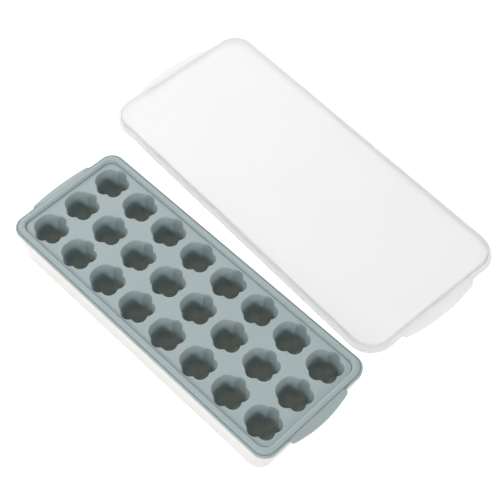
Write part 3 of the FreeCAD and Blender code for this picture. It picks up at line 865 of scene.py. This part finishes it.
def polypropylene(tint, clearness):
    """Injection-moulded natural polypropylene: the eye sees a milky, satin wall.

    The clearer it is, the more the white sweep behind it lights it up.
    """
    material, tree = new_material("natural polypropylene")
    place = add_node(tree, "ShaderNodeTexCoord").outputs["Object"]
    flow = add_node(tree, "ShaderNodeTexNoise", {
        "Vector": place, "Scale": per_metre(60), "Detail": 2.0, "Roughness": 0.5})
    # Clouds where the melt cooled unevenly, a per cent or so darker and lighter
    tone = add_node(tree, "ShaderNodeMix", {
        "Factor": flow.outputs["Fac"], "A": shade(tint, 0.985), "B": shade(tint, 1.01)},
        data_type="RGBA")
    # Satin grain of the mould, drawn at 0.8 mm so that it shows
    grain = add_node(tree, "ShaderNodeTexNoise", {
        "Vector": place, "Scale": per_metre(0.8), "Detail": 2.0, "Roughness": 0.6})
    relief = add_node(tree, "ShaderNodeBump", {
        "Height": grain.outputs["Fac"], "Strength": 0.15, "Distance": 0.02 * MM})
    surface = add_node(tree, "ShaderNodeBsdfPrincipled", {
        "Base Color": tone.outputs["Result"], "Roughness": 0.42, "IOR": 1.49,
        "Transmission Weight": clearness, "Normal": relief.outputs["Normal"]})
    add_node(tree, "ShaderNodeOutputMaterial", {"Surface": surface.outputs["BSDF"]})
    return material


def seen_directly(tree):
    """1 for rays that show the backdrop: from the camera, off a gloss or through a clear wall."""
    path = add_node(tree, "ShaderNodeLightPath").outputs
    glossy = add_node(tree, "ShaderNodeMath", operation="MAXIMUM")
    tree.links.new(path["Is Camera Ray"], glossy.inputs[0])
    tree.links.new(path["Is Glossy Ray"], glossy.inputs[1])
    clear = add_node(tree, "ShaderNodeMath", operation="MAXIMUM")
    tree.links.new(glossy.outputs[0], clear.inputs[0])
    tree.links.new(path["Is Transmission Ray"], clear.inputs[1])
    return clear.outputs[0]


def backdrop_floor():
    """White sweep: it glows enough to show white, and still takes a soft shadow.

    Through a clear wall it shows evenly white, as if no wall shaded it.
    """
    paper_white, glow_strength = (0.8, 0.8, 0.8, 1), 0.62
    white, black = (1, 1, 1, 1), (0, 0, 0, 1)
    material, tree = new_material("white paper sweep")
    paper = add_node(tree, "ShaderNodeBsdfDiffuse", {"Color": paper_white})
    glow = add_node(tree, "ShaderNodeEmission", {"Color": white, "Strength": glow_strength})
    dark = add_node(tree, "ShaderNodeEmission", {"Color": black, "Strength": 0.0})
    extra = add_node(tree, "ShaderNodeMixShader", {"Fac": seen_directly(tree)})
    tree.links.new(dark.outputs[0], extra.inputs[1])
    tree.links.new(glow.outputs[0], extra.inputs[2])
    both = add_node(tree, "ShaderNodeAddShader")
    tree.links.new(paper.outputs[0], both.inputs[0])
    tree.links.new(extra.outputs[0], both.inputs[1])
    even = add_node(tree, "ShaderNodeEmission", {"Color": white, "Strength": 1.0})
    path = add_node(tree, "ShaderNodeLightPath").outputs
    sweep = add_node(tree, "ShaderNodeMixShader", {"Fac": path["Is Transmission Ray"]})
    tree.links.new(both.outputs[0], sweep.inputs[1])
    tree.links.new(even.outputs[0], sweep.inputs[2])
    add_node(tree, "ShaderNodeOutputMaterial", {"Surface": sweep.outputs[0]})
    return material


# Operators

def finish_piece(piece, material, node):
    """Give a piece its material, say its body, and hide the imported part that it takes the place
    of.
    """
    piece.data.materials.append(material)
    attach(piece, "root")
    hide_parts(node)


class MouldBuild(Operator):
    """Build the silicone mould with its paw-shaped wells"""

    bl_idname = "ice_mould.build_mould"
    bl_label = "Silicone mould"

    def execute(self, context):
        mould = context.scene.ice_mould
        piece = build_mould(mould)
        finish_piece(piece, silicone(mould.silicone, mould.painted_shade_silicone), "ice_mould")
        return {"FINISHED"}


class TrayBuild(Operator):
    """Build the rigid tray that the mould rests in"""

    bl_idname = "ice_mould.build_tray"
    bl_label = "Tray"

    def execute(self, context):
        tray = context.scene.ice_mould_tray
        piece = build_tray(tray)
        finish_piece(piece, polypropylene(tray.polypropylene, tray.clearness), "base_tray")
        return {"FINISHED"}


class LidBuild(Operator):
    """Build the loose lid"""

    bl_idname = "ice_mould.build_lid"
    bl_label = "Lid"

    def execute(self, context):
        scene = context.scene
        lid = scene.ice_mould_lid
        piece = build_lid(lid, scene.ice_mould)
        finish_piece(piece, polypropylene(lid.polypropylene, lid.clearness), "lid")
        return {"FINISHED"}


def add_camera(stage):
    """Camera at its place: turned to its bearing, tipped down, then rolled about its own axis."""
    data = bpy.data.cameras.new("camera")
    data.lens = stage.lens
    data.clip_start = 0.01
    camera = bpy.data.objects.new("camera", data)
    bpy.context.scene.collection.objects.link(camera)
    quarter = math.pi / 2
    camera.matrix_world = (
        Matrix.Translation(stage.camera_place)
        @ Matrix.Rotation(stage.camera_bearing - quarter, 4, "Z")
        @ Matrix.Rotation(quarter - stage.camera_dip, 4, "X")
        @ Matrix.Rotation(stage.camera_roll, 4, "Z"))
    bpy.context.scene.camera = camera


def add_lamp(name, power, size, distance, bearing, rise):
    """Square soft box of an edge length, at a bearing and rise from the object that it faces.

    Its place is the object's middle plus distance times (cos(rise) level + sin(rise) up).
    """
    aim = (CAD_BOX[0] + CAD_BOX[1]) / 2
    level = Vector((math.cos(bearing), math.sin(bearing), 0))
    place = aim + distance * (math.cos(rise) * level + math.sin(rise) * Vector((0, 0, 1)))
    data = bpy.data.lights.new(name, "AREA")
    data.energy = power
    data.size = size
    lamp = bpy.data.objects.new(name, data)
    lamp.location = place
    lamp.rotation_euler = (aim - place).to_track_quat("-Z", "Y").to_euler()
    bpy.context.scene.collection.objects.link(lamp)


def add_room(ceiling, walls):
    """Light of a room with pale walls and a dim ceiling; the backdrop itself shows plain white.

    Its level goes smoothly from the walls' at 15 degrees above the horizon to the ceiling's at 35.
    """
    wall_top, ceiling_edge = math.sin(math.radians(15)), math.sin(math.radians(35))
    warm_white, plain_white = (1, 0.96, 0.9, 1), (1, 1, 1, 1)
    world = bpy.data.worlds.new("studio")
    world.use_nodes = True
    tree = world.node_tree
    tree.nodes.clear()
    way = add_node(tree, "ShaderNodeTexCoord").outputs["Generated"]
    rise = add_node(tree, "ShaderNodeSeparateXYZ", {"Vector": way}).outputs["Z"]
    level = add_node(tree, "ShaderNodeMapRange", {
        "Value": rise, "From Min": wall_top, "From Max": ceiling_edge,
        "To Min": walls, "To Max": ceiling}, interpolation_type="SMOOTHSTEP")
    light = add_node(tree, "ShaderNodeBackground", {
        "Color": warm_white, "Strength": level.outputs["Result"]})
    white = add_node(tree, "ShaderNodeBackground", {"Color": plain_white, "Strength": 1.0})
    mix = add_node(tree, "ShaderNodeMixShader", {"Fac": seen_directly(tree)})
    tree.links.new(light.outputs[0], mix.inputs[1])
    tree.links.new(white.outputs[0], mix.inputs[2])
    add_node(tree, "ShaderNodeOutputWorld", {"Surface": mix.outputs[0]})
    bpy.context.scene.world = world


class StageBuild(Operator):
    """Set the camera, the soft boxes and the white floor"""

    bl_idname = "ice_mould.build_stage"
    bl_label = "Stage"

    def execute(self, context):
        stage = context.scene.ice_mould_stage
        add_camera(stage)
        add_room(stage.ceiling, stage.walls)
        ahead, aside = stage.camera_bearing, math.radians(45)
        add_lamp("back soft box", stage.back_lamp, size=1.35, distance=1.7,
                 bearing=ahead + math.radians(18), rise=math.radians(43))
        add_lamp("left soft box", stage.left_lamp, size=0.2, distance=1.2,
                 bearing=ahead + math.pi - aside, rise=math.radians(34))
        add_lamp("right soft box", stage.right_lamp, size=0.2, distance=1.2,
                 bearing=ahead + math.pi + aside, rise=math.radians(20))

        extent, below = 4.0, -0.2 * MM
        corners = ((-extent, -extent), (extent, -extent), (extent, extent), (-extent, extent))
        floor = Patchwork()
        floor.add(np.array([(x, y, below) for x, y in corners]), np.array([[0, 1, 2, 3]]))
        sweep = floor.build("floor")
        sweep.data.materials.append(backdrop_floor())
        context.scene.view_settings.view_transform = "Standard"
        return {"FINISHED"}


OPERATORS = (MouldBuild, TrayBuild, LidBuild, StageBuild)
SETTINGS = {
    "ice_mould": MouldSizes,
    "ice_mould_tray": TraySizes,
    "ice_mould_lid": LidSizes,
    "ice_mould_stage": StageSettings,
}


class IceMouldPanel(Panel):
    """Sidebar panel that builds the pieces and lists their sizes"""

    bl_idname = "VIEW3D_PT_ice_mould"
    bl_label = "Paw ice mould"
    bl_space_type = "VIEW_3D"
    bl_region_type = "UI"
    bl_category = "Ice Mould"

    def draw(self, context):
        for operator in OPERATORS:
            self.layout.operator(operator.bl_idname)
        for attribute in SETTINGS:
            box = self.layout.box()
            group = getattr(context.scene, attribute)
            for name in group.bl_rna.properties.keys():
                if name not in ("rna_type", "name"):
                    box.prop(group, name)


def register():
    for kind in (*SETTINGS.values(), *OPERATORS, IceMouldPanel):
        bpy.utils.register_class(kind)
    for attribute, kind in SETTINGS.items():
        setattr(bpy.types.Scene, attribute, PointerProperty(type=kind))


def unregister():
    for attribute in SETTINGS:
        delattr(bpy.types.Scene, attribute)
    for kind in (IceMouldPanel, *OPERATORS, *SETTINGS.values()):
        bpy.utils.unregister_class(kind)


def main():
    register()
    bpy.ops.ice_mould.build_mould()
    bpy.ops.ice_mould.build_tray()
    bpy.ops.ice_mould.build_lid()
    bpy.ops.ice_mould.build_stage()


if __name__ == "__main__":
    main()
